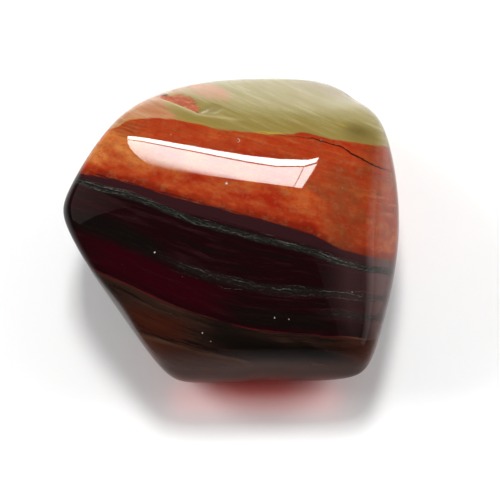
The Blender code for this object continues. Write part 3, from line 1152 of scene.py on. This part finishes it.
def glass(name, rows, brightness, tint=WHITE, far=WINDOW_FAR):
    """A pane of light. Each row runs left to right as (azimuth, elevation, share of brightness)."""
    points = [STONE_MIDDLE + looking(azimuth, elevation) * far
              for row in rows for azimuth, elevation, _ in row]
    wide = len(rows[0])
    faces = [(line * wide + at, line * wide + at + 1, (line + 1) * wide + at + 1, (line + 1) * wide + at)
             for line in range(len(rows) - 1) for at in range(wide - 1)]
    mesh = bpy.data.meshes.new(name)
    mesh.from_pydata(points, [], faces)
    shine = mesh.attributes.new("shine", "FLOAT", "POINT")
    shine.data.foreach_set("value", [share for row in rows for _, _, share in row])
    material = bpy.data.materials.new(name)
    material.use_nodes = True
    tree = material.node_tree
    tree.nodes.clear()
    bench = Bench(tree)
    glow = bench.node("ShaderNodeEmission")
    glow.inputs["Color"].default_value = tint
    share = Field(bench, bench.node("ShaderNodeAttribute", attribute_name="shine").outputs["Fac"])
    bench.feed(glow.inputs["Strength"], share * brightness)
    bench.feed(bench.node("ShaderNodeOutputMaterial").inputs["Surface"], glow.outputs[0])
    mesh.materials.append(material)
    pane = bpy.data.objects.new(name, mesh)
    pane.visible_camera = False
    pane.visible_diffuse = False
    pane.visible_shadow = False
    bpy.context.scene.collection.objects.link(pane)


def window():
    """The north window: its strip, its main pane above a bar, and its side pane."""
    sill = [(azimuth, elevation, 1.0) for azimuth, elevation, *_ in WINDOW_COLUMNS]
    bar = [(azimuth, elevation + strip, 1.0) for azimuth, elevation, strip, *_ in WINDOW_COLUMNS]
    glass("window_strip", [sill, bar], STRIP_BRIGHTNESS, WINDOW_TINT)
    rows = [[(azimuth, elevation + strip + BAR_THICKNESS, low)
             for azimuth, elevation, strip, low, _, _, _ in WINDOW_COLUMNS]]
    for number, rise in enumerate(PANE_ROWS):
        rows.append([(column[0] + PANE_LEAN * (number + 1) * (column[0] > 0), rise, column[4 + number])
                     for column in WINDOW_COLUMNS])
    glass("window_pane", [row[:-1] for row in rows], PANE_BRIGHTNESS, WINDOW_TINT)
    glass("window_side", [[(row[-2][0] + SIDE_BAR_THICKNESS, row[-2][1], 1.0),
                           (row[-1][0] + SIDE_PANE_OVERHANG, row[-1][1], 1.0)] for row in rows],
          PANE_BRIGHTNESS, WINDOW_TINT)


def soft_light(name, place, towards, size, energy, colour=WHITE[:3]):
    """A soft light that neither the camera nor the polish sees."""
    light = bpy.data.lights.new(name, "AREA")
    light.shape = "RECTANGLE"
    light.size, light.size_y = size
    light.energy = energy
    light.color = colour
    lamp = bpy.data.objects.new(name, light)
    lamp.location = place
    lamp.rotation_euler = towards.to_track_quat("-Z", "Y").to_euler()
    lamp.visible_camera = False
    lamp.visible_glossy = False
    bpy.context.scene.collection.objects.link(lamp)


def sky():
    """A soft light high in the north, and a wider and lower one on each side."""
    away = looking(*SKY_DIRECTION)
    soft_light("sky", STONE_MIDDLE + away * SKY_FAR, -away, SKY_SIZE, SKY_ENERGY)
    for name, direction, energy in zip(("west_light", "east_light"), SIDE_DIRECTIONS, SIDE_ENERGIES):
        away = looking(*direction)
        soft_light(name, STONE_MIDDLE + away * SKY_FAR, -away, SIDE_SIZE, energy)


def red_glow():
    """Stands in for the red light that comes through the lower south edge into the shadow."""
    size = (GLOW_SIZE[0] * MM, GLOW_SIZE[1] * MM)
    soft_light("red_glow", GLOW_PLACE * MM, GLOW_HEADING, size, GLOW_ENERGY, GLOW_COLOUR)


def room():
    """Soft light from all around but the south, white for the camera, and dark in the polish."""
    world = bpy.data.worlds.new("room")
    world.use_nodes = True
    bpy.context.scene.world = world
    tree = world.node_tree
    bench = Bench(tree)
    tree.nodes.clear()
    north = bench.split(bench.node("ShaderNodeTexCoord").outputs["Generated"])[1]
    lit = bench.fade(north, *ROOM_BORDER) * (ROOM_BRIGHTNESS - SOUTH_ROOM_BRIGHTNESS)
    lit = lit + SOUTH_ROOM_BRIGHTNESS
    path = bench.node("ShaderNodeLightPath")
    pale = bench.node("ShaderNodeBackground")
    pale.inputs["Color"].default_value = WHITE
    bench.feed(pale.inputs["Strength"], bench.largest(lit, Field(bench, path.outputs["Is Camera Ray"])))
    dark = bench.node("ShaderNodeBackground")
    dark.inputs["Color"].default_value = ROOM_IN_POLISH
    mixed = bench.node("ShaderNodeMixShader")
    out = bench.node("ShaderNodeOutputWorld")
    tree.links.new(path.outputs["Is Glossy Ray"], mixed.inputs[0])
    tree.links.new(pale.outputs[0], mixed.inputs[1])
    tree.links.new(dark.outputs[0], mixed.inputs[2])
    tree.links.new(mixed.outputs[0], out.inputs[0])


def photo_camera():
    """Looks down at the stone from the side of its steep south face."""
    camera = bpy.data.cameras.new("camera")
    camera.lens = CAMERA_LENS
    camera.sensor_width = CAMERA_SENSOR
    camera.clip_start, camera.clip_end = CAMERA_CLIP
    seat = bpy.data.objects.new("camera", camera)
    rise = math.radians(CAMERA_ELEVATION)
    seat.location = CAMERA_AIM * MM + Vector((0.0, -math.cos(rise), math.sin(rise))) * CAMERA_FAR
    seat.rotation_euler = (math.radians(90.0 - CAMERA_ELEVATION), 0.0, 0.0)
    bpy.context.scene.collection.objects.link(seat)
    bpy.context.scene.camera = seat


def main():
    skin = polished_skin(ironstone_material())
    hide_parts("stone")
    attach(skin, "root")
    paper_floor()
    room()
    sky()
    red_glow()
    window()
    glass("southeast_wall", SOUTHEAST_WALL, WALL_BRIGHTNESS, WALL_TINT)
    glass("west_wall", WEST_WALL, WALL_BRIGHTNESS, WALL_TINT)
    glass("east_card", EAST_CARD, EAST_CARD_BRIGHTNESS, far=EAST_CARD_FAR)
    photo_camera()
    bpy.context.scene.view_settings.view_transform = "Standard"
    bpy.context.scene.view_settings.gamma = PICTURE_GAMMA


main()
